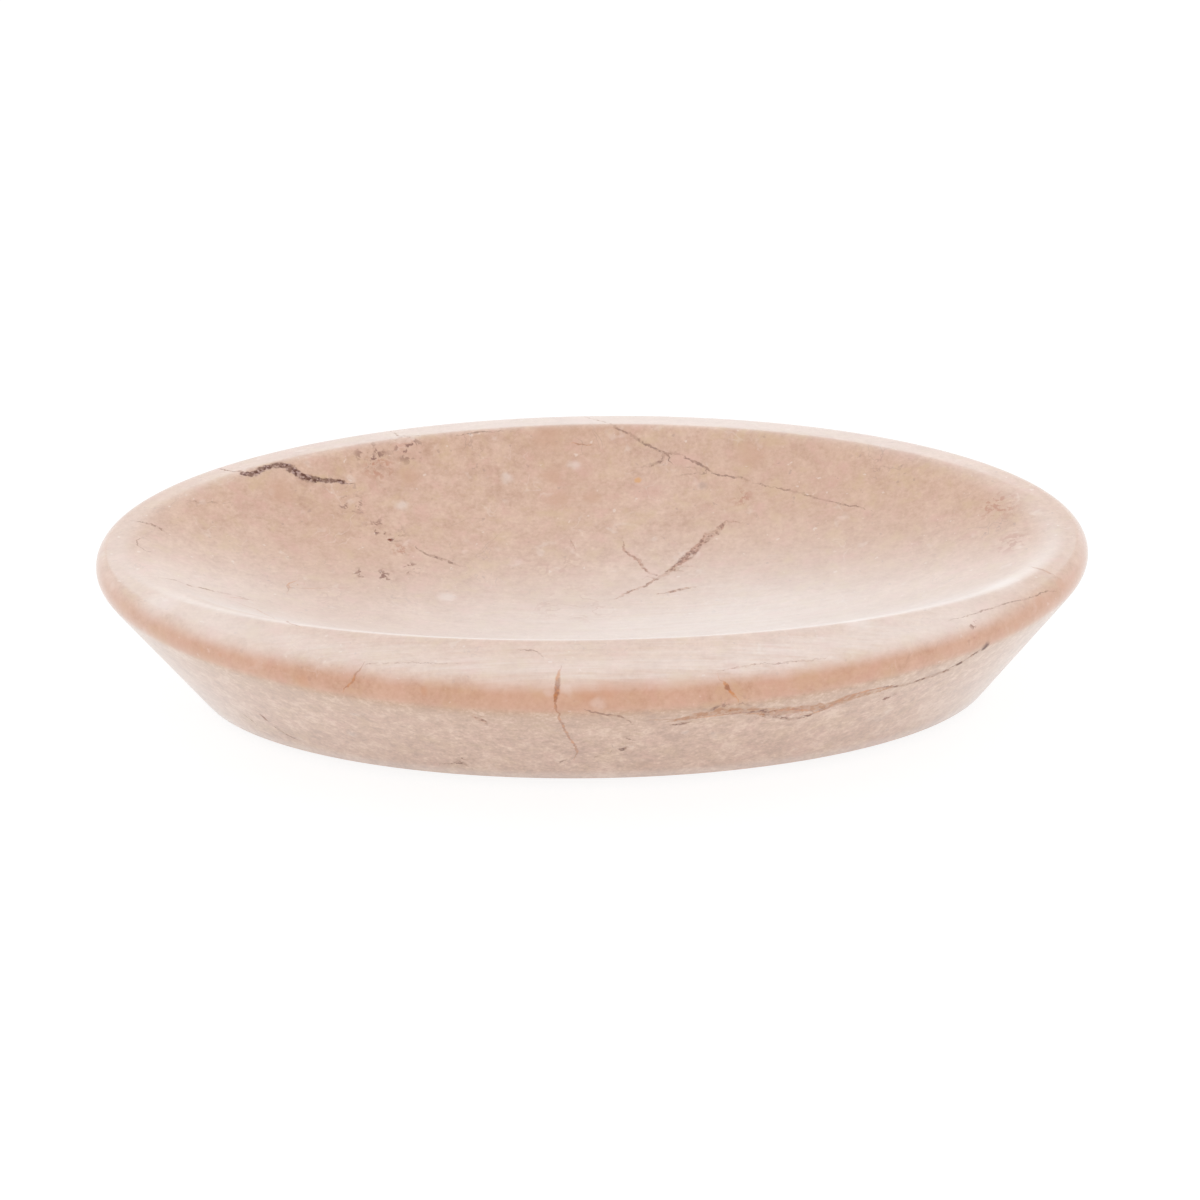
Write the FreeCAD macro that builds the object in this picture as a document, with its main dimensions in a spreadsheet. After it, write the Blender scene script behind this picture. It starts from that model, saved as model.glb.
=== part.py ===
import FreeCAD, Part
import os
import Sketcher

# An oval soap dish cut from one block of polished stone. Its wall leans outwards from a flat oval
# base to a rounded rim, a broad lip rises gently inwards to a soft ridge, and inside the ridge the
# stone is ground out to a shallow bowl. The lip narrows and the ridge dips towards the two ends.
# The dish stands on four round bumper pads, each held by a film of adhesive. The origin is on the
# table under the middle of the dish: +X along it, +Z up.

document = FreeCAD.newDocument("soap_dish")

# Driving dimensions, in millimetres and degrees
sizes = document.addObject("Spreadsheet::Sheet", "Sizes")
driving_dimensions = [
    ("dish_length", 140.0, "length of the stone over its rounded rim"),
    ("dish_width", 90.0, "width of the stone over its rounded rim"),
    ("stone_height", 24.0, "underside of the stone to the ridge's sides, before it is rounded"),
    ("wall_lean", 37.0, "lean of the outer wall from upright"),
    ("lip_side_width", 9.6, "rim to ridge along the sides, seen from above"),
    ("lip_side_slope", 13.8, "rise of the lip from level along the sides"),
    ("lip_end_width", 6.0, "rim to ridge at the two ends, seen from above"),
    ("lip_end_slope", 8.0, "rise of the lip from level at the two ends"),
    ("rim_round", 2.4, "radius of the rim"),
    ("ridge_round", 1.6, "radius of the ridge between lip and bowl"),
    ("base_round", 0.8, "radius of the edge round the base"),
    ("bowl_depth", 12.5, "ridge to the lowest point of the bowl"),
    ("bowl_sweep_share", 2.6, "upright half axis of the bowl's ellipsoid, as a share of the depth"),
    ("ridge_overrun", 0.8, "stone left above the ridge, which the bowl takes away"),
    ("pad_diameter", 10.0, "bumper pad across"),
    ("pad_thickness", 1.2, "bumper pad, table to adhesive"),
    ("pad_round", 0.5, "radius of the pad's lower edge"),
    ("adhesive_thickness", 0.15, "film between a pad and the stone"),
    ("adhesive_margin", 0.25, "bare border of a pad round its film"),
    ("pad_length_share", 0.62, "a pad's place along the base, as a share of half its length"),
    ("pad_width_share", 0.46, "a pad's place across the base, as a share of half its width"),
]
for row, (alias, value, meaning) in enumerate(driving_dimensions, start=1):
    sizes.set(f"A{row}", meaning)
    sizes.set(f"B{row}", str(value))
    sizes.setAlias(f"B{row}", alias)
document.recompute()

# Formulas on the sheet that several pieces share: half lengths run along the dish, half widths
# across it, and all levels count from the table.
def overhang(slope):
    """How far the sharp corner that the rim's rounding takes off stands outside the rim."""
    half_angle = f"((90 - Sizes.wall_lean + {slope}) / 2)"
    return f"(Sizes.rim_round * (cos({half_angle} - {slope}) / sin({half_angle}) - 1))"


side_overhang = overhang("Sizes.lip_side_slope")
end_overhang = overhang("Sizes.lip_end_slope")
side_rise = f"((Sizes.lip_side_width + {side_overhang}) * tan(Sizes.lip_side_slope))"
end_rise = f"((Sizes.lip_end_width + {end_overhang}) * tan(Sizes.lip_end_slope))"
wall_height = f"(Sizes.stone_height - {side_rise})"
wall_inset = f"({wall_height} * tan(Sizes.wall_lean))"

rim_half_length = f"(Sizes.dish_length / 2 + {end_overhang})"
rim_half_width = f"(Sizes.dish_width / 2 + {side_overhang})"
base_half_length = f"({rim_half_length} - {wall_inset})"
base_half_width = f"({rim_half_width} - {wall_inset})"
ridge_half_length = "(Sizes.dish_length / 2 - Sizes.lip_end_width)"
ridge_half_width = "(Sizes.dish_width / 2 - Sizes.lip_side_width)"

stone_level = "(Sizes.pad_thickness + Sizes.adhesive_thickness)"
rim_level = f"({stone_level} + {wall_height})"
ridge_level = f"({stone_level} + Sizes.stone_height)"


def start_body(label):
    """A separate piece of the dish, named as its file is."""
    body = document.addObject("PartDesign::Body", label)
    body.Label = label
    return body


def lay_flat(body, feature, level):
    """Lays a sketch or a primitive level, at a height above its body's own XY plane."""
    plane = next(part for part in body.Origin.OriginFeatures if part.Role == "XY_Plane")
    feature.AttachmentSupport = [(plane, "")]
    feature.MapMode = "FlatFace"
    feature.setExpression("AttachmentOffset.Base.z", level)


def centre(sketch, curve):
    """Ties a round curve's centre, its point number 3, to the sketch's origin, point 1 of curve -1."""
    sketch.addConstraint(Sketcher.Constraint("Coincident", curve, 3, -1, 1))


def bind(sketch, constraint, name, formula):
    """Adds a sketch dimension and ties it to the sheet."""
    sketch.renameConstraint(sketch.addConstraint(constraint), name)
    sketch.setExpression(f"Constraints.{name}", formula)


def oval_sketch(body, name, half_length, half_width, level):
    """A level ellipse across the dish, from formulas for its two half axes and its height."""
    sketch = body.newObject("Sketcher::SketchObject", name)
    lay_flat(body, sketch, level)
    start = Part.Ellipse(FreeCAD.Vector(), sizes.dish_length / 2, sizes.dish_width / 2)
    oval = sketch.addGeometry(start, False)
    sketch.exposeInternalGeometry(oval)
    long_axis = oval + 1
    wide_axis = oval + 2
    centre(sketch, oval)
    sketch.addConstraint(Sketcher.Constraint("Horizontal", long_axis))
    long_size = Sketcher.Constraint("Distance", long_axis, sizes.dish_length)
    wide_size = Sketcher.Constraint("Distance", wide_axis, sizes.dish_width)
    bind(sketch, long_size, "long_axis", f"2 * {half_length}")
    bind(sketch, wide_size, "wide_axis", f"2 * {half_width}")
    return sketch


def round_edge(body, feature, name, level, radius):
    """Rounds the closed edge of a feature that lies nearest to a height."""
    document.recompute()
    rings = [
        (abs(edge.BoundBox.Center.z - level), f"Edge{number}")
        for number, edge in enumerate(feature.Shape.Edges, start=1)
        if not edge.Degenerated and edge.isClosed()
    ]
    fillet = body.newObject("PartDesign::Fillet", name)
    fillet.Base = (feature, [min(rings)[1]])
    fillet.setExpression("Radius", radius)
    return fillet


def make_dish_body():
    """The stone: a block turned to shape outside, ground to a bowl inside, its edges rounded."""
    body = start_body("dish_body")
    top_rise = f"({side_rise} + Sizes.ridge_overrun)"
    top_half_length = f"({rim_half_length} - {top_rise} / tan(Sizes.lip_end_slope))"
    top_half_width = f"({rim_half_width} - {top_rise} / tan(Sizes.lip_side_slope))"
    top_level = f"({rim_level} + {top_rise})"
    base = oval_sketch(body, "base_oval", base_half_length, base_half_width, stone_level)
    rim = oval_sketch(body, "rim_oval", rim_half_length, rim_half_width, rim_level)
    top = oval_sketch(body, "top_oval", top_half_length, top_half_width, top_level)
    block = body.newObject("PartDesign::AdditiveLoft", "block")
    block.Profile = base
    block.Sections = [rim, top]
    block.Ruled = True
    document.recompute()

    # The ellipsoid passes through the ridge at its sides and, lower down, at its ends. Each ratio is
    # the ellipsoid's half axis over the ridge's, from how far its middle is above the ridge there.
    middle_rise = "(Sizes.bowl_depth * (Sizes.bowl_sweep_share - 1))"
    upright = "(Sizes.bowl_depth * Sizes.bowl_sweep_share)"
    side_spread = f"(1 / sqrt(1 - ({middle_rise} / {upright}) ^ 2))"
    end_spread = f"(1 / sqrt(1 - (({middle_rise} + {side_rise} - {end_rise}) / {upright}) ^ 2))"
    bowl = body.newObject("PartDesign::SubtractiveEllipsoid", "bowl")
    lay_flat(body, bowl, f"{ridge_level} + {middle_rise}")
    bowl.setExpression("Radius1", upright)
    bowl.setExpression("Radius2", f"{ridge_half_length} * {end_spread}")
    bowl.setExpression("Radius3", f"{ridge_half_width} * {side_spread}")
    document.recompute()
    if bowl.Shape.Volume >= block.Shape.Volume:
        raise RuntimeError("the bowl takes nothing away")

    ridge_height = sizes.pad_thickness + sizes.adhesive_thickness + sizes.stone_height
    rounded = round_edge(body, bowl, "ridge", ridge_height, "Sizes.ridge_round")
    rounded = round_edge(body, rounded, "rim", rim.Placement.Base.z, "Sizes.rim_round")
    round_edge(body, rounded, "base_edge", base.Placement.Base.z, "Sizes.base_round")
    return body


def make_disc(label, diameter, thickness, level, side_x, side_y):
    """A round disc under one quarter of the base: its sides are 1 or -1 along X and Y."""
    body = start_body(label)
    sketch = body.newObject("Sketcher::SketchObject", f"{label}_outline")
    lay_flat(body, sketch, "0")
    circle = Part.Circle(FreeCAD.Vector(), FreeCAD.Vector(0, 0, 1), sizes.pad_diameter / 2)
    ring = sketch.addGeometry(circle, False)
    centre(sketch, ring)
    bind(sketch, Sketcher.Constraint("Diameter", ring, sizes.pad_diameter), "across", diameter)
    disc = body.newObject("PartDesign::Pad", f"{label}_disc")
    disc.Profile = sketch
    disc.setExpression("Length", thickness)
    body.setExpression("Placement.Base.x", f"{side_x} * Sizes.pad_length_share * {base_half_length}")
    body.setExpression("Placement.Base.y", f"{side_y} * Sizes.pad_width_share * {base_half_width}")
    body.setExpression("Placement.Base.z", level)
    return body, disc


def make_foot(corner, side_x, side_y):
    """One bumper pad with its lower edge rounded, and the adhesive film on top of it."""
    pad, disc = make_disc(
        f"foot_pad_{corner}", "Sizes.pad_diameter", "Sizes.pad_thickness", "0", side_x, side_y
    )
    round_edge(pad, disc, f"foot_pad_{corner}_edge", 0, "Sizes.pad_round")
    film, _ = make_disc(
        f"foot_adhesive_{corner}",
        "Sizes.pad_diameter - 2 * Sizes.adhesive_margin",
        "Sizes.adhesive_thickness",
        "Sizes.pad_thickness",
        side_x,
        side_y,
    )
    return [pad, film]


pieces = [make_dish_body()]
for depth, side_y in (("front", -1), ("back", 1)):
    for hand, side_x in (("left", -1), ("right", 1)):
        pieces += make_foot(f"{depth}_{hand}", side_x, side_y)
document.recompute()

for item in document.Objects:
    if "Invalid" in item.State or "Error" in item.State:
        raise RuntimeError(f"{item.Label} failed to compute")
for piece in pieces:
    if piece.Shape.isNull() or not piece.Shape.isValid() or len(piece.Shape.Solids) != 1:
        raise RuntimeError(f"{piece.Label} is not one sound solid")

os.makedirs("parts", exist_ok=True)
for piece in pieces:
    piece.Shape.exportStep(f"parts/{piece.Label}.step")
    print(piece.Label, round(piece.Shape.Volume, 2), "cubic mm")
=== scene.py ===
import math

import bmesh
import bpy
import numpy as np
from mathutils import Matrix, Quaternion, Vector
from mathutils.bvhtree import BVHTree


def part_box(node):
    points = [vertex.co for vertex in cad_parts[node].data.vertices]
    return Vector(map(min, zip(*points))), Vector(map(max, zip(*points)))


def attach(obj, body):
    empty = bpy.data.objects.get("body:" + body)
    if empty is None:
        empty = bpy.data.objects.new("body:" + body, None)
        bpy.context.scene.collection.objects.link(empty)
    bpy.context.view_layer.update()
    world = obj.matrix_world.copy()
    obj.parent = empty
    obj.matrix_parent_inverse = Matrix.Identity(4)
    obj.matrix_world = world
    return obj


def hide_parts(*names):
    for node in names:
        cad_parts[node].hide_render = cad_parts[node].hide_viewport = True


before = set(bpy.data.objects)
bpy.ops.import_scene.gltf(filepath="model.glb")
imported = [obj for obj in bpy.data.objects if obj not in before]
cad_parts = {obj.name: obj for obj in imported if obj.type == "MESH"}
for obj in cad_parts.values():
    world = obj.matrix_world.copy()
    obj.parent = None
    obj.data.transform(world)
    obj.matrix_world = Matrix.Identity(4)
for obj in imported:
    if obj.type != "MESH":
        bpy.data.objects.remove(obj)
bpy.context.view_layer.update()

# The viewpoint
# A long lens looks down on the dish from its front, close to square on and with a slight tilt.
# It is set up first, because the stone's veins are laid where this view shows them.
picture_side = 1200
focal_pixels = 7030
sensor_width = 36.0
camera_distance = 1.0
camera_rise = math.radians(26.30)
camera_swing = math.radians(1.51)
camera_tilt = math.radians(-1.34)
base_pixel = (594.4, 680.6)

stone_low, stone_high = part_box("dish_body")
base_centre = Vector((0, 0, stone_low[2]))
towards_camera = Vector((
    math.sin(camera_swing) * math.cos(camera_rise),
    -math.cos(camera_swing) * math.cos(camera_rise),
    math.sin(camera_rise),
))
pan = math.atan((picture_side / 2 - base_pixel[0]) / focal_pixels)
pitch = math.atan((base_pixel[1] - picture_side / 2) / focal_pixels)
camera_turn = (-towards_camera).to_track_quat("-Z", "Y")
camera_turn = camera_turn @ Quaternion((0, 0, 1), camera_tilt)
camera_turn = camera_turn @ Quaternion((1, 0, 0), pitch)
camera_turn = camera_turn @ Quaternion((0, 1, 0), -pan)

camera = bpy.data.objects.new("camera", bpy.data.cameras.new("camera"))
camera.location = base_centre + towards_camera * camera_distance
camera.rotation_euler = camera_turn.to_euler()
camera.data.sensor_width = sensor_width
camera.data.lens = focal_pixels / picture_side * sensor_width
camera.data.clip_start = 0.01
camera.data.clip_end = 100
bpy.context.collection.objects.link(camera)
bpy.context.scene.camera = camera
bpy.context.scene.view_settings.view_transform = "Standard"


def view_ray(pixel):
    """The direction in which the camera sees a pixel of the square picture."""
    right = (pixel[0] - picture_side / 2) / focal_pixels
    up = (picture_side / 2 - pixel[1]) / focal_pixels
    return (camera_turn @ Vector((right, up, -1))).normalized()


# The stone dish
# One block of pink-beige marble, sawn and turned to an oval, ground out to a shallow bowl and
# polished by hand. The lip narrows and the ridge dips towards the two ends, and every edge is soft.
half_length = stone_high[0]
half_width = stone_high[1]
underside = stone_low[2]
ridge_height = 0.0240
ridge_dip = 0.00175
wall_lean = math.radians(37)
lip_width = 0.0096
lip_end_width = 0.0060
lip_slope = math.radians(13.8)
rim_round = 0.0024
side_rim_round = 0.0036
side_wall_lean = math.radians(39.2)
base_round = 0.0008
bowl_depth = 0.0125
bowl_sweep = 2.6
segments = 112
edge_steps = 3
wall_steps = 8
rim_steps = 6
lip_steps = 4
ridge_steps = 6
bowl_steps = 16
smooth_levels = 2

ridge_level = underside + ridge_height


def rim_middle(radius):
    """The level of the middle of the rim's rounding, whose top runs into the slope of the lip."""
    flat = lip_width - radius * (1 - math.sin(lip_slope))
    return ridge_level - flat * math.tan(lip_slope) - radius * math.cos(lip_slope)


rim_level = rim_middle(rim_round)
side_rim_level = rim_middle(side_rim_round)

# A ring round the dish is an oval: its half length, its half width, and its level at the sides and
# at the ends.


def oval(inset, level):
    """A level ring, set in from the rim, and less so at the ends of the lip."""
    climb = min(max((level - rim_level) / (ridge_level - rim_level), 0), 1)
    end_inset = inset * (1 - (1 - lip_end_width / lip_width) * climb)
    return (half_length - end_inset, half_width - inset, level, level)


def arc(inset, level, radius, start, stop, steps):
    """Rings round an edge: the angle is that of the outward normal above level."""
    for step in range(steps + 1):
        angle = start + (stop - start) * step / steps
        yield oval(inset - radius * math.cos(angle), level + radius * math.sin(angle))


def blend(first, last, end_share, side_share):
    """A ring between two others, with a share of the way for the ends and one for the sides."""
    shares = (end_share, side_share, side_share, end_share)
    return tuple(a + (b - a) * share for a, b, share in zip(first, last, shares))


# The rim is rounder along the sides than at the ends.
lip_angle = math.pi / 2 - lip_slope
end_arc = arc(rim_round, rim_level, rim_round, -wall_lean, lip_angle, rim_steps)
side_arc = arc(side_rim_round, side_rim_level, side_rim_round, -side_wall_lean, lip_angle, rim_steps)
rim_rings = [(end[0], side[1], side[2], end[3]) for end, side in zip(end_arc, side_arc)]
wall_top_inset = rim_round * (1 - math.cos(wall_lean))
wall_top_level = rim_level - rim_round * math.sin(wall_lean)
edge_level = underside + base_round
edge_drop = wall_top_level - edge_level + base_round * math.sin(wall_lean)
edge_inset = wall_top_inset + edge_drop * math.tan(wall_lean) + base_round * math.cos(wall_lean)
edge_rings = list(arc(edge_inset, edge_level, base_round, -math.pi / 2, -wall_lean, edge_steps))

# The bowl is part of an ellipsoid that passes through the sharp ridge at its sides and its ends.
sharp_ridge = (half_length - lip_end_width, half_width - lip_width, ridge_level, ridge_level - ridge_dip)
bowl_upright = bowl_depth * bowl_sweep
bowl_middle = ridge_level - bowl_depth + bowl_upright
side_reach = math.acos((bowl_middle - sharp_ridge[2]) / bowl_upright)
end_reach = math.acos((bowl_middle - sharp_ridge[3]) / bowl_upright)


def bowl_ring(end_share, side_share):
    """A ring of the bowl, from shares of 1 at the sharp ridge to 0 at the lowest point."""
    end_angle = end_reach * end_share
    side_angle = side_reach * side_share
    return (
        sharp_ridge[0] * math.sin(end_angle) / math.sin(end_reach),
        sharp_ridge[1] * math.sin(side_angle) / math.sin(side_reach),
        bowl_middle - bowl_upright * math.cos(side_angle),
        bowl_middle - bowl_upright * math.cos(end_angle),
    )


# The ridge is rounded tightly along the sides and melts away at the ends.
lip_end_share = 0.6
lip_side_share = 0.12
ridge_end_share = 0.93
ridge_side_share = 0.974
ridge_start = blend(sharp_ridge, rim_rings[-1], lip_end_share, lip_side_share)
ridge_stop = bowl_ring(ridge_end_share, ridge_side_share)
ridge_rings = []
for step in range(ridge_steps + 1):
    share = step / ridge_steps
    before = blend(ridge_start, sharp_ridge, share, share)
    after = blend(sharp_ridge, ridge_stop, share, share)
    ridge_rings.append(blend(before, after, share, share))

# All rings in order, from a small one in the middle of the underside to one at the bowl's lowest point
base_flat = edge_rings[0]
base_shares = (0.04, 0.25, 0.5, 0.75, 0.95)
last_bowl_share = 0.018
rings = []
for share in base_shares:
    rings.append((base_flat[0] * share, base_flat[1] * share, underside, underside))
rings += edge_rings
for step in range(1, wall_steps):
    rings.append(blend(edge_rings[-1], rim_rings[0], step / wall_steps, step / wall_steps))
rings += rim_rings
for step in range(1, lip_steps):
    rings.append(blend(rim_rings[-1], ridge_start, step / lip_steps, step / lip_steps))
rings += ridge_rings
for step in range(1, bowl_steps):
    fall = 1 - step / bowl_steps
    rings.append(bowl_ring(ridge_end_share * fall, ridge_side_share * fall))
rings.append(bowl_ring(last_bowl_share, last_bowl_share))

bpy.ops.object.select_all(action="DESELECT")
bpy.ops.mesh.primitive_circle_add(vertices=segments, radius=1, fill_type="TRIFAN")
stone = bpy.context.object
stone.name = "marble_dish"
bpy.ops.object.mode_set(mode="EDIT")
bpy.ops.mesh.select_all(action="SELECT")
bpy.ops.transform.resize(value=(rings[0][0], rings[0][1], 1))
bpy.ops.transform.translate(value=(0, 0, underside))
bpy.ops.mesh.select_all(action="DESELECT")
bpy.ops.mesh.select_mode(type="EDGE")
bpy.ops.mesh.select_non_manifold()
for last, ring in zip(rings, rings[1:]):
    bpy.ops.mesh.extrude_edges_move(TRANSFORM_OT_translate={"value": (0, 0, 0)})
    bpy.ops.transform.resize(value=(ring[0] / last[0], ring[1] / last[1], 1), center_override=(0, 0, 0))
    shape = bmesh.from_edit_mesh(stone.data)
    for corner in shape.verts:
        if corner.select:
            corner.co.z = ring[2] + (ring[3] - ring[2]) * (corner.co.x / ring[0]) ** 2
    bmesh.update_edit_mesh(stone.data)
bpy.ops.mesh.edge_face_add()
bpy.ops.mesh.select_mode(type="FACE")
bpy.ops.mesh.poke()
bpy.ops.mesh.select_all(action="SELECT")
bpy.ops.mesh.normals_make_consistent(inside=False)
bpy.ops.object.mode_set(mode="OBJECT")
smoothing = stone.modifiers.new("smoothing", "SUBSURF")
smoothing.levels = smooth_levels
smoothing.render_levels = smooth_levels
bpy.ops.object.modifier_apply(modifier=smoothing.name)
bpy.ops.object.shade_smooth()
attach(stone, "root")
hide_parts("dish_body")


def paint(red, green, blue):
    """A colour as a screen shows it, from 0 to 255, in the linear values that shaders take."""
    shown = (value / 255 for value in (red, green, blue))
    return tuple(v / 12.92 if v <= 0.04045 else ((v + 0.055) / 1.055) ** 2.4 for v in shown) + (1,)


class Wire:
    """An output of a material's nodes. Sums on wires add the Math nodes that work them out."""

    def __init__(self, socket):
        self.socket = socket

    def node(self, kind, settings, sockets, output=0):
        """Adds a node beside this one: its settings come first, then its inputs, set or linked."""
        tree = self.socket.id_data
        made = tree.nodes.new(kind)
        for name, value in settings.items():
            setattr(made, name, value)
        for key, value in sockets.items():
            if isinstance(value, Wire):
                tree.links.new(value.socket, made.inputs[key])
            else:
                made.inputs[key].default_value = value
        return Wire(made.outputs[output])

    def math(self, operation, *values):
        return self.node("ShaderNodeMath", {"operation": operation}, dict(enumerate(values)))

    def __add__(self, other):
        return self.math("ADD", self, other)

    __radd__ = __add__

    def __sub__(self, other):
        return self.math("SUBTRACT", self, other)

    def __rsub__(self, other):
        return self.math("SUBTRACT", other, self)

    def __mul__(self, other):
        return self.math("MULTIPLY", self, other)

    __rmul__ = __mul__

    def __abs__(self):
        return self.math("ABSOLUTE", self)

    def most(self, other):
        """The larger of two values at each place."""
        return self.math("MAXIMUM", self, other)

    def axis(self, number):
        """One part of a vector: 0 for x, 1 for y and 2 for z."""
        return self.node("ShaderNodeSeparateXYZ", {}, {0: self}, number)

    def ramp(self, start, stop):
        """0 up to start and 1 from stop on, with a soft step between; start may be above stop."""
        return self.node(
            "ShaderNodeMapRange",
            {"interpolation_type": "SMOOTHSTEP"},
            {"Value": self, "From Min": start, "From Max": stop},
        )

    def noise(self, size, detail=2, roughness=0.5, distortion=0, seed=0):
        """Noise on a position, from 0 to 1, with marks of about a size in metres."""
        return self.node(
            "ShaderNodeTexNoise",
            {"noise_dimensions": "4D"},
            {
                "Vector": self,
                "W": seed,
                "Scale": 1 / size,
                "Detail": detail,
                "Roughness": roughness,
                "Distortion": distortion,
            },
        )

    def mix(self, first, second):
        """The first colour where this wire is 0, the second where it is 1."""
        return self.node("ShaderNodeMix", {"data_type": "RGBA"}, {0: self, 6: first, 7: second}, 2)


def start_material(name):
    """A material, its shader node and a wire with the object's own coordinates."""
    material = bpy.data.materials.new(name)
    material.use_nodes = True
    tree = material.node_tree
    place = Wire(tree.nodes.new("ShaderNodeTexCoord").outputs["Object"])
    return material, tree.nodes["Principled BSDF"], place


def feed(shader, sockets):
    """Sets a shader's sockets, or links wires to them."""
    tree = shader.id_data
    for name, value in sockets.items():
        if isinstance(value, Wire):
            tree.links.new(value.socket, shader.inputs[name])
        else:
            shader.inputs[name].default_value = value


stone_tree = BVHTree.FromPolygons(
    [vertex.co for vertex in stone.data.vertices],
    [polygon.vertices for polygon in stone.data.polygons],
)


def on_stone(pixel):
    """The place on the stone that the camera sees at a pixel, and the stone's normal there."""
    return stone_tree.ray_cast(camera.location, view_ray(pixel))[:2]


# Widths of veins and spots are in millimetres. A vein thins to a share of its width at its tips.
millimetre = 0.001
tip_share = 0.3


def lay_veins(name, veins):
    """Stores at each vertex the nearest vein's distance, to one side and in all, and half width."""
    count = len(stone.data.vertices)
    places = np.empty(count * 3)
    stone.data.vertices.foreach_get("co", places)
    places = places.reshape(count, 3)
    across = np.full(count, 1.0)
    reach = np.full(count, 1.0)
    half = np.zeros(count)
    for half_millimetres, route in veins.values():
        hits = [on_stone(pixel) for pixel in route]
        for step, ((start, normal), (stop, _)) in enumerate(zip(hits, hits[1:])):
            run = np.array(stop - start)
            sideways = np.array(normal.cross(stop - start).normalized())
            offset = places - np.array(start)
            along = np.clip(offset @ run / (run @ run), 0, 1)
            offset -= along[:, None] * run
            distance = np.linalg.norm(offset, axis=1)
            share = (step + along) / (len(hits) - 1)
            taper = tip_share + (1 - tip_share) * (4 * share * (1 - share)) ** 0.6
            nearer = distance < reach
            reach[nearer] = distance[nearer]
            across[nearer] = np.where(offset[nearer] @ sideways < 0, -distance[nearer], distance[nearer])
            half[nearer] = millimetre * half_millimetres * taper[nearer]
    record = stone.data.attributes.new(name, "FLOAT_VECTOR", "POINT")
    record.data.foreach_set("vector", np.stack([across, reach, half], axis=1).ravel())


# Veins as this view shows them: half the width in millimetres, and the pixels that each passes.
lay_veins("fissure", {
    "tail": (0.14, [(218, 469), (230, 471), (241, 472)]),
    "body": (0.62, [(237, 471), (245, 474), (253, 475), (261, 469), (272, 466), (278, 464), (286, 466),
                    (293, 470), (304, 477), (313, 479), (323, 480), (333, 481), (346, 483)]),
})
lay_veins("grey_vein", {
    "back_rim": (0.22, [(585, 417), (600, 421), (616, 428), (631, 435), (643, 442), (653, 447),
                        (663, 453), (676, 454), (688, 458), (703, 467), (713, 473), (726, 476),
                        (742, 478), (752, 482)]),
    "back_right": (0.16, [(752, 482), (768, 486), (782, 489), (796, 492), (809, 496), (826, 500),
                          (845, 505), (861, 507), (871, 511)]),
    "back_loop": (0.30, [(666, 455), (661, 461), (653, 465), (643, 466)]),
    "back_strand": (0.12, [(681, 475), (691, 474), (713, 473)]),
    "back_left_rim": (0.11, [(390, 431), (398, 436), (410, 436), (426, 436)]),
    "back_rim_dashes": (0.11, [(456, 436), (479, 432), (506, 431)]),
    "left_middle": (0.28, [(415, 547), (421, 552), (433, 556), (443, 559), (453, 564), (461, 566)]),
    "left_floor": (0.20, [(161, 578), (176, 580), (190, 586), (203, 588), (213, 591), (229, 594),
                          (249, 599)]),
    "left_lip_arc": (0.22, [(136, 521), (153, 525), (161, 529), (165, 532)]),
    "left_lip_ring": (0.09, [(145, 537), (137, 540), (138, 546), (146, 551), (154, 552)]),
    "left_lip_dashes": (0.20, [(191, 501), (198, 502), (204, 503), (227, 503)]),
    "lip_left": (0.09, [(367, 664), (381, 663), (410, 663), (460, 664)]),
    "lip_middle": (0.13, [(518, 650), (536, 651), (547, 658)]),
    "lip_right": (0.09, [(756, 664), (777, 664), (800, 661)]),
    "right_tip": (0.13, [(1058, 589), (1045, 592), (1027, 598), (998, 606), (970, 615), (948, 621)]),
    "front_start": (0.24, [(586, 710), (603, 714), (620, 716), (630, 722)]),
    "front_dash": (0.36, [(671, 725), (680, 724), (689, 722)]),
    "front_smudge": (0.34, [(708, 712), (714, 709), (720, 706)]),
    "front_run": (0.40, [(739, 713), (750, 713), (764, 710), (770, 715), (787, 719), (808, 716),
                         (823, 708)]),
    "front_end": (0.42, [(884, 687), (905, 685), (915, 682), (934, 675), (948, 670), (974, 654),
                         (985, 648)]),
    "foot_left": (0.38, [(446, 764), (456, 763), (460, 761), (469, 767)]),
    "foot_far_left": (0.26, [(258, 712), (264, 718), (270, 723)]),
    "foot_left_edge": (0.20, [(243, 714), (250, 719), (256, 725)]),
    "foot_left_run": (0.26, [(275, 727), (286, 734), (298, 740)]),
    "foot_middle": (0.36, [(617, 748), (622, 750), (628, 747)]),
    "foot_middle_high": (0.22, [(626, 738), (632, 740), (638, 740)]),
    "foot_middle_low": (0.16, [(559, 763), (565, 760)]),
    "foot_middle_dots": (0.14, [(595, 757), (604, 754)]),
})
lay_veins("rust_vein", {
    "front": (0.36, [(559, 672), (558, 680), (557, 689), (556, 698), (556, 708)]),
    "front_low": (0.20, [(556, 703), (559, 717), (565, 731), (572, 741), (578, 751), (575, 757)]),
    "front_short": (0.30, [(723, 682), (729, 690), (736, 697)]),
    "front_thread": (0.17, [(651, 720), (690, 719), (712, 716), (739, 713), (762, 714)]),
    "front_band": (0.30, [(774, 711), (793, 709), (813, 711)]),
    "front_climb": (0.26, [(809, 715), (827, 708), (850, 695), (870, 690), (888, 687)]),
    "left_floor": (0.15, [(229, 597), (240, 598), (251, 600)]),
    "left_floor_low": (0.12, [(238, 603), (256, 609), (272, 617), (289, 623), (301, 627)]),
    "left_hook": (0.15, [(288, 591), (287, 586), (290, 583), (296, 581)]),
    "left_hook_line": (0.08, [(292, 588), (321, 588), (350, 588)]),
    "back_curl": (0.11, [(572, 443), (580, 445), (590, 445)]),
    "right_tip": (0.18, [(1033, 567), (1042, 570), (1051, 574)]),
    "nose_crack": (0.18, [(362, 667), (356, 674), (352, 683), (344, 689)]),
})
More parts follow.
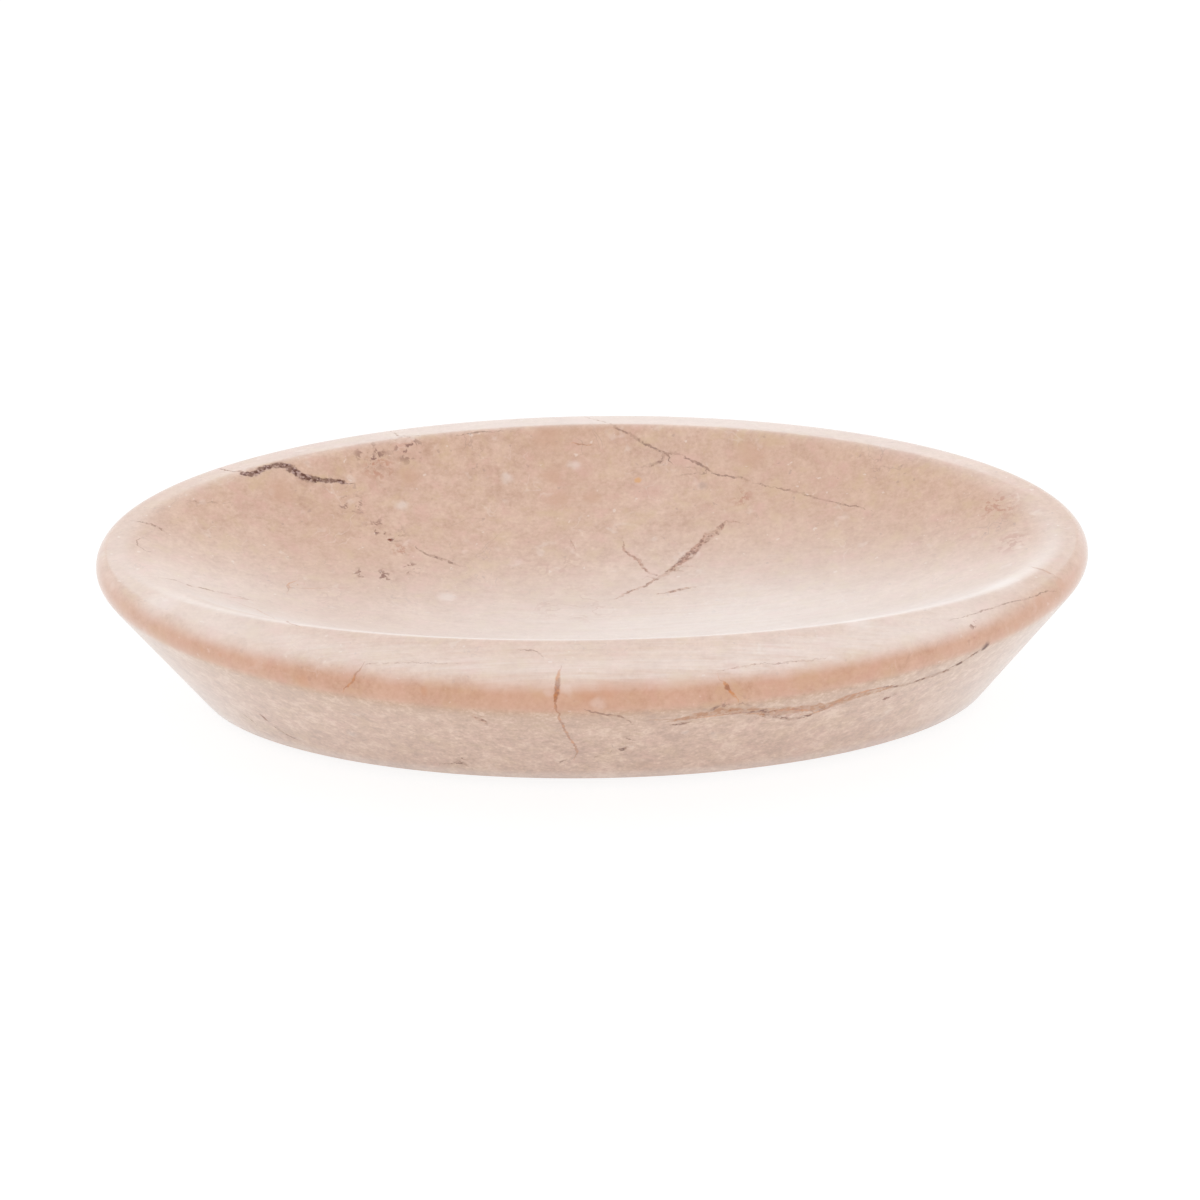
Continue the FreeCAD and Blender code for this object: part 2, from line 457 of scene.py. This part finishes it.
lay_veins("brown_band", {
    "front": (1.1, [(676, 720), (700, 715), (724, 711), (745, 711), (770, 712), (800, 709), (826, 706),
                    (850, 697), (870, 692), (890, 688)]),
})
lay_veins("brown_vein", {
    "main": (0.62, [(728, 521), (722, 526), (716, 532), (708, 536), (701, 544), (693, 551), (686, 557),
                    (676, 567), (668, 573), (658, 578)]),
    "head": (0.16, [(741, 523), (734, 521), (726, 523)]),
    "tail": (0.24, [(662, 576), (653, 581), (643, 587), (631, 591), (621, 596), (613, 600)]),
    "branch": (0.26, [(660, 577), (650, 573), (643, 568), (639, 559), (630, 555), (623, 549),
                      (623, 543)]),
    "twig": (0.14, [(676, 567), (683, 566), (694, 566)]),
    "floor_right": (0.24, [(656, 594), (670, 592), (683, 589), (698, 586)]),
    "floor_curl": (0.14, [(571, 540), (575, 549)]),
    "lip_right": (0.12, [(777, 664), (804, 661), (826, 657)]),
    "lip_pink": (0.09, [(718, 671), (738, 667), (756, 664)]),
    "wall_mark": (0.42, [(472, 716), (480, 719), (487, 723)]),
    "wall_mark_high": (0.13, [(472, 709), (479, 713)]),
})

marble, marble_shader, place = start_material("polished_marble")
# Where a point of the stone is, in metres, and which way the surface faces there
along = place.axis(0)
depth = place.axis(1)
height = place.axis(2)
facing = place.node("ShaderNodeTexCoord", {}, {}, "Normal")
sideways = facing.axis(0)
backward = facing.axis(1)
upward = facing.axis(2)

# Positive where the surface faces away from the dish's middle, negative where it faces the middle
outward = sideways * along * half_length ** -2 + backward * depth * half_width ** -2

# Positions shaken a little, for marks with uneven edges
shake_size = 0.002
shake_width = 0.0018
shake_noise = {"Vector": place, "Scale": 1 / shake_size, "Detail": 3}
shake = place.node("ShaderNodeTexNoise", {}, shake_noise, "Color")
shake = place.node("ShaderNodeVectorMath", {"operation": "SUBTRACT"}, {0: shake, 1: (0.5, 0.5, 0.5)})
shake = place.node("ShaderNodeVectorMath", {"operation": "SCALE"}, {0: shake, "Scale": shake_width})
loose_place = place.node("ShaderNodeVectorMath", {"operation": "ADD"}, {0: place, 1: shake})


def spots(marks):
    """Spots with uneven edges round what the camera sees at some pixels, with radii in millimetres."""
    cover = None
    for pixel, radius in marks.values():
        centre = on_stone(pixel)[0]
        distance = place.node(
            "ShaderNodeVectorMath", {"operation": "DISTANCE"}, {0: loose_place, 1: centre}, "Value"
        )
        spot = distance.ramp(millimetre * radius, millimetre * radius * 0.2)
        cover = spot if cover is None else cover.most(spot)
    return cover


# The ground: clouds, patches of half-grown grains, grit and a fine grain, from tan to pale pink
clouds = place.noise(0.024, detail=4, roughness=0.55, distortion=0.3, seed=1)
mottle = place.noise(0.0052, detail=4, roughness=0.6, distortion=0.5, seed=2)
patches = place.noise(0.0022, detail=3, roughness=0.6, distortion=0.4, seed=17)
grit = place.noise(0.0011, roughness=0.6, seed=18)
grain = place.noise(0.0006, detail=3, roughness=0.7, seed=3)
tone = 0.75 * mottle + 0.65 * patches + 0.60 * grit + 0.90 * grain - 0.95
colour = tone.mix(paint(174, 120, 84), paint(231, 193, 168))
tint = place.noise(0.0034, detail=4, roughness=0.6, distortion=0.4, seed=19)
colour = (clouds.ramp(0.60, 0.36) * 0.25).mix(colour, paint(198, 146, 108))
colour = (clouds.ramp(0.52, 0.72) * 0.20).mix(colour, paint(214, 172, 154))
colour = (tint.ramp(0.50, 0.70) * 0.60).mix(colour, paint(206, 168, 124))
colour = (tint.ramp(0.50, 0.30) * 0.50).mix(colour, paint(212, 156, 138))

# Broken shell: small pale shards, thin pale curls and brown hairs
shards = loose_place.noise(0.0030, distortion=0.4, seed=4).ramp(0.64, 0.74)
colour = (shards * 0.24).mix(colour, paint(238, 220, 210))
shell = abs(loose_place.noise(0.0040, detail=1, distortion=0.8, seed=5) - 0.5).ramp(0.016, 0.004)
shell = shell * place.noise(0.008, detail=1, seed=6).ramp(0.58, 0.66)
colour = (shell * 0.22).mix(colour, paint(236, 216, 205))
hairs = abs(place.noise(0.006, detail=3, distortion=1.1, seed=7) - 0.5).ramp(0.010, 0.002)
hairs = hairs * place.noise(0.010, seed=8).ramp(0.54, 0.66)
colour = (hairs * 0.40).mix(colour, paint(158, 112, 92))
specks = place.noise(0.0011, seed=9)
colour = (specks.ramp(0.68, 0.74) * 0.5).mix(colour, paint(162, 116, 98))
colour = (specks.ramp(0.31, 0.26) * 0.4).mix(colour, paint(240, 224, 214))

# Stains and single marks, where this view shows them
tan_stains = spots({
    "back_right": ((750, 455), 3.4),
    "back_middle": ((547, 438), 3.0),
    "back_low": ((552, 476), 2.2),
    "middle": ((592, 497), 2.0),
    "middle_left": ((559, 500), 2.4),
    "left_back": ((410, 476), 2.6),
    "left": ((280, 492), 3.4),
    "wall_foot": ((645, 765), 1.8),
})
colour = (tan_stains * 0.6).mix(colour, paint(196, 142, 106))
orange_stains = spots({
    "front": ((588, 695), 2.0),
    "front_right": ((606, 688), 2.0),
    "nose_far_left": ((303, 680), 1.6),
    "nose_brown": ((424, 692), 0.8),
    "right_tip": ((1062, 584), 1.4),
    "right_lip": ((1038, 600), 1.2),
    "right_nose": ((1016, 627), 0.8),
    "left_dot": ((202, 650), 0.45),
    "left_second_dot": ((219, 656), 0.45),
    "back_dot": ((785, 529), 0.3),
})
colour = (orange_stains * 0.5).mix(colour, paint(202, 138, 94))
pale_shards = spots({
    "floor": ((447, 597), 2.0),
    "back": ((506, 478), 1.4),
    "back_middle": ((575, 465), 1.3),
    "left": ((400, 505), 1.4),
    "front": ((686, 732), 0.9),
    "front_vein": ((596, 704), 1.5),
    "beside_rust": ((567, 690), 1.2),
    "beside_rust_left": ((548, 694), 0.9),
    "wall_left": ((355, 714), 1.0),
    "wall_far_left": ((353, 734), 1.1),
    "right": ((886, 712), 1.0),
})
colour = (pale_shards * 0.42).mix(colour, paint(238, 222, 214))
colour = (spots({"yellow": ((638, 480), 0.7)}) * 0.9).mix(colour, paint(214, 146, 62))
colour = (spots({"grey": ((703, 486), 1.0)}) * 0.55).mix(colour, paint(164, 126, 106))

# The wall is tanner than the bowl and more mottled; the extra tan just below the rim is painted shade,
# where the wall reflects less of the tent. The rim is pinker.
wall = upward.ramp(-0.3, -0.58) * height.ramp(underside, underside + 0.0005)
shade_below_rim = height.ramp(wall_top_level - 0.0070, wall_top_level - 0.0010)
shade_below_rim = shade_below_rim * abs(along).ramp(0.066, 0.050)
tan = wall * (0.30 + 0.44 * shade_below_rim) * (0.4 + 1.2 * mottle)
colour = tan.mix(colour, paint(188, 142, 102))
colour = (wall * tone.ramp(0.52, 0.22) * 0.45).mix(colour, paint(158, 110, 78))
colour = (wall * tone.ramp(0.48, 0.78) * 0.45).mix(colour, paint(238, 208, 184))
rim = outward.ramp(0.3, 1.5) * upward.ramp(-0.6, -0.2) * upward.ramp(0.9, 0.6)
colour = (rim * 0.9 * mottle).mix(colour, paint(210, 158, 132))

# Flecks: crumbs of purple and rust crowd together beside the veins
crumbs = loose_place.noise(0.0011, detail=3, roughness=0.6, seed=14)
purple_flecks = crumbs.ramp(0.52, 0.60) * spots({
    "left_bowl": ((384, 532), 4.0),
    "left_row": ((362, 573), 1.8),
    "left_row_middle": ((385, 576), 2.2),
    "left_row_right": ((410, 569), 2.2),
    "left_back": ((372, 455), 3.5),
    "left_back_rim": ((408, 448), 3.5),
    "left_fissure": ((350, 505), 3.0),
    "front_vein": ((732, 707), 3.2),
    "front_vein_right": ((770, 713), 3.2),
    "front_right": ((884, 698), 2.6),
    "lip_right": ((974, 625), 1.6),
})
colour = (purple_flecks * 0.85).mix(colour, paint(142, 108, 100))
rust_flecks = crumbs.ramp(0.49, 0.41) * spots({
    "right_end": ((1000, 505), 4.6),
    "right_end_low": ((1012, 543), 4.2),
    "left_back": ((378, 468), 3.0),
    "left_bowl": ((402, 550), 2.2),
    "front_vein": ((790, 710), 3.4),
    "beside_vein": ((742, 498), 2.6),
})
colour = (rust_flecks * 0.95).mix(colour, paint(182, 114, 76))

# How the veins wander, swell and break
sway = place.noise(0.0022, detail=3, roughness=0.6, seed=11) - 0.5
flutter = place.noise(0.0007, roughness=0.6, seed=21) - 0.5
swell = 0.35 + 1.5 * place.noise(0.0015, roughness=0.6, seed=12)
breaks = place.noise(0.0016, detail=3, roughness=0.6, seed=13)


def vein_cover(name, wander, gaps, crumble):
    """Where a kind of vein lies: it wanders off its route, swells, thins, breaks off and crumbles."""
    vein = place.node("ShaderNodeAttribute", {"attribute_name": name}, {}, "Vector")
    across = vein.axis(0)
    reach = vein.axis(1)
    width = swell * vein.axis(2)
    line = abs(across + (sway + flutter * 0.8) * wander).ramp(width * 1.25, width * 0.5)
    line = line * breaks.ramp(gaps - 0.06, gaps + 0.06) * reach.ramp(0.0018, 0.0012)
    return line * (1 - crumble * grit.ramp(0.54, 0.46)) * (0.62 + 0.38 * width.ramp(0.00008, 0.00045))


band = vein_cover("brown_band", 0.0016, 0.30, 0.5)
colour = (band * 0.85).mix(colour, paint(176, 116, 66))
brown = vein_cover("brown_vein", 0.0010, 0.22, 0.55)
brown_colour = grain.ramp(0.42, 0.58).mix(paint(140, 106, 96), paint(194, 154, 138))
colour = (brown * 0.85).mix(colour, brown_colour)
grey = vein_cover("grey_vein", 0.0010, 0.42, 0.6)
grey_colour = crumbs.ramp(0.4, 0.6).mix(paint(148, 116, 104), paint(116, 90, 86))
colour = (grey * 0.86).mix(colour, grey_colour)
rust = vein_cover("rust_vein", 0.0007, 0.32, 0.2)
rust_colour = crumbs.ramp(0.4, 0.6).mix(paint(202, 126, 60), paint(156, 96, 62))
colour = (rust * 0.90).mix(colour, rust_colour)
fissure = vein_cover("fissure", 0.0012, 0.12, 0.2)
fissure_colour = grain.ramp(0.47, 0.62).mix(paint(100, 68, 62), paint(182, 154, 148))
colour = (fissure * 0.95).mix(colour, fissure_colour)
red_dot = spots({"left": ((390, 539), 0.55)})
colour = (red_dot * 0.95).mix(colour, paint(112, 46, 30))
blue_dot = spots({"right": ((985, 647), 1.0)})
colour = (blue_dot * 0.8).mix(colour, paint(122, 110, 112))

# The finish: painted reflection, a milky white veil on the lip and the floor of the bowl, thinnest at
# the back, in the fine lines that polishing along the dish leaves. The underside is sawn and honed, so
# it is duller.
lines = place.node("ShaderNodeCombineXYZ", {}, {0: along * 0.06, 1: depth, 2: height})
polish = lines.noise(0.0007, detail=3, roughness=0.65, seed=15)
lip = (outward * (1 - 0.90 * abs(along).ramp(0.016, 0.050))).ramp(-0.6, 0.6)

# In the bowl the painted reflection is thickest at the front and in the middle, on the lip it thins at
# the ends.
bowl_painted_reflection = 0.05 + 0.50 * depth.ramp(0.025, -0.010)
bowl_painted_reflection = bowl_painted_reflection * (1 - 0.72 * abs(sideways + 0.075).ramp(0.00, 0.26))
bowl_painted_reflection = bowl_painted_reflection + 0.07 * depth.ramp(0.008, 0.026)
ridge = height.ramp(ridge_level - 0.0015, ridge_level - 0.0006)
lip_painted_reflection = 0.04 + 0.06 * along.ramp(-0.02, 0.03) + 0.34 * depth.ramp(0.028, -0.016)
lip_painted_reflection = lip_painted_reflection * (1 - 0.75 * along.ramp(0.050, 0.064)) * (1 - 0.28 * ridge)
lip_painted_reflection = lip_painted_reflection * (1 - 0.55 * along.ramp(-0.050, -0.066))
lip_painted_reflection = lip_painted_reflection * (upward + 0.3 * (mottle - 0.5)).ramp(0.28, 0.97)
# Painted highlights: white streaks where the inner ends of the bowl mirror the bright tent.
painted_highlights = spots({
    "left": ((158, 604), 4.0),
    "right": ((1000, 584), 4.6),
    "right_low": ((858, 623), 3.0),
})
painted_reflection = bowl_painted_reflection + lip * (lip_painted_reflection - bowl_painted_reflection) + 0.14 * painted_highlights
painted_reflection = painted_reflection * (1 + (0.6 + 0.7 * lip) * (polish - 0.5) * abs(along).ramp(0.062, 0.024))

# The wall has a little painted reflection at its foot and at its ends.
foot = height.ramp(underside + 0.0026, underside + 0.0006)
far = abs(along).ramp(0.042, 0.054) * height.ramp(0.016, 0.008)
painted_reflection = painted_reflection + wall * (0.22 * foot + 0.08 * far)

# The painted reflection mixes the colour towards white; the veins' duller shader takes the colour
# without it.
raw_colour = colour
colour = painted_reflection.mix(colour, paint(255, 252, 250))

# Brown curls of shell show through the painted reflection on the floor of the bowl.
curls = abs(loose_place.noise(0.0046, distortion=1.0, seed=20) - 0.5).ramp(0.040, 0.014)
curls = curls * spots({
    "floor": ((572, 606), 9.0),
    "middle": ((555, 560), 8.0),
    "left": ((330, 600), 7.0),
})
colour = (curls * patches.ramp(0.44, 0.54) * 0.42).mix(colour, paint(190, 146, 126))

# Roughness and relief
honed = height.ramp(underside + 0.0004, underside + 0.0001)
saw_place = place.node("ShaderNodeCombineXYZ", {}, {0: along * 0.04, 1: depth})
saw_lines = saw_place.noise(0.0005, seed=16)
relief = 1 - fissure * (0.4 + 0.6 * grain) - brown * 0.3 * grain
relief = relief + honed * saw_lines * 0.6 + polish * 0.05
bump = place.node("ShaderNodeBump", {}, {"Strength": 0.3, "Distance": 0.0002, "Height": relief})
feed(marble_shader, {
    "Base Color": colour,
    "Roughness": 0.20 + 0.10 * polish + 0.30 * honed + 0.20 * fissure,
    "Normal": bump,
    "IOR": 1.5,
    "Sheen Weight": 0.8,
    "Sheen Roughness": 0.55,
})

# The veins take no polish: a duller shader shows through where they lie.
raw_stone = marble.node_tree.nodes.new("ShaderNodeBsdfPrincipled")
feed(raw_stone, {"Base Color": raw_colour, "Roughness": 0.8, "Specular IOR Level": 0.1, "Normal": bump})
raw = 0.85 * grey.most(brown).most(purple_flecks)
raw = raw.most(rust * 0.5).most(band * 0.45).most(fissure).most(red_dot + blue_dot)
surface = raw.node(
    "ShaderNodeMixShader", {}, {0: raw, 1: Wire(marble_shader.outputs[0]), 2: Wire(raw_stone.outputs[0])}
)
feed(marble.node_tree.nodes["Material Output"], {"Surface": surface})
stone.data.materials.append(marble)


def dress(prefix, material):
    """Gives a material to all pieces of the CAD model whose names start alike."""
    for name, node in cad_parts.items():
        if name.startswith(prefix):
            node.material_slots[0].material = material


# The adhesive films
# A thin disc of clear acrylic adhesive holds each bumper pad to the honed underside of the stone.
# It has yellowed a little, and pressing it on has trapped small bubbles.
film, film_shader, place = start_material("clear_adhesive")
bubbles = place.node("ShaderNodeTexVoronoi", {}, {"Vector": place, "Scale": 1100, "Randomness": 1})
bubbles = bubbles.ramp(0.34, 0.22) * place.noise(0.0025, seed=1).ramp(0.45, 0.6)
yellowing = place.noise(0.004, detail=3, seed=2).ramp(0.35, 0.65)
film_colour = yellowing.mix(paint(238, 234, 220), paint(228, 218, 192))
feed(film_shader, {
    "Base Color": bubbles.mix(film_colour, paint(250, 250, 246)),
    "Roughness": 0.22 + 0.35 * bubbles + 0.08 * yellowing,
    "IOR": 1.47,
    "Transmission Weight": 0.2,
})
dress("foot_adhesive", film)

# The bumper pads
# Four low discs of clear cast polyurethane under the base keep the stone from sliding or scratching.
# Casting leaves faint swirls, and the face that grips the table is matt and a little dusty.
pad, pad_shader, place = start_material("clear_polyurethane")
height = place.axis(2)
gripping = height.ramp(0.0004, 0.00005)
swirls = place.noise(0.0035, detail=3, roughness=0.55, distortion=1.6, seed=1)
dust = place.noise(0.0003, detail=3, roughness=0.7, seed=2).ramp(0.56, 0.72) * gripping
pad_colour = swirls.ramp(0.3, 0.7).mix(paint(226, 226, 222), paint(240, 240, 238))
pad_relief = swirls * 0.5 + dust
pad_bump = place.node("ShaderNodeBump", {}, {"Strength": 0.2, "Distance": 0.0002, "Height": pad_relief})
feed(pad_shader, {
    "Base Color": (dust * 0.5).mix(pad_colour, paint(176, 172, 164)),
    "Roughness": 0.12 + 0.08 * swirls + 0.28 * gripping + 0.2 * dust,
    "Normal": pad_bump,
    "IOR": 1.5,
    "Transmission Weight": 0.2,
})
dress("foot_pad", pad)

# The table and the light
# A white table with no edge in sight, in an even white tent that is brighter low down at the back.
# The table looks white to the camera, without throwing that much light up at the stone.
table_side = 12
bpy.ops.object.select_all(action="DESELECT")
bpy.ops.mesh.primitive_plane_add(size=table_side)
table = bpy.context.object
table.name = "table"
table_material, table_shader, _ = start_material("white_table")
rays = table_material.node_tree.nodes.new("ShaderNodeLightPath").outputs
seen = Wire(rays["Is Camera Ray"]) + Wire(rays["Is Glossy Ray"]) + Wire(rays["Is Transmission Ray"])
seen = seen.math("MINIMUM", seen, 1)
feed(table_shader, {
    "Base Color": seen.mix((0.85, 0.85, 0.85, 1), (0.22, 0.22, 0.22, 1)),
    "Roughness": 0.9,
    "Specular IOR Level": 0,
    "Emission Color": seen.mix((0.16, 0.16, 0.16, 1), (0.86, 0.86, 0.86, 1)),
    "Emission Strength": 1,
})
table.data.materials.append(table_material)

world = bpy.data.worlds.new("white_tent")
world.use_nodes = True
room = world.node_tree
direction = Wire(room.nodes.new("ShaderNodeTexCoord").outputs["Generated"])
rays = room.nodes.new("ShaderNodeLightPath").outputs
seen = Wire(rays["Is Camera Ray"]) + Wire(rays["Is Transmission Ray"])
to_back = direction.axis(1)
to_top = direction.axis(2)
bright_strip = to_back.ramp(0.3, 0.7) * to_top.ramp(0.06, 0.14) * to_top.ramp(0.42, 0.28)
glow = 1 + 0.4 * bright_strip
feed(room.nodes["Background"], {"Color": (1, 1, 1, 1), "Strength": seen + (1 - seen) * glow})
bpy.context.scene.world = world
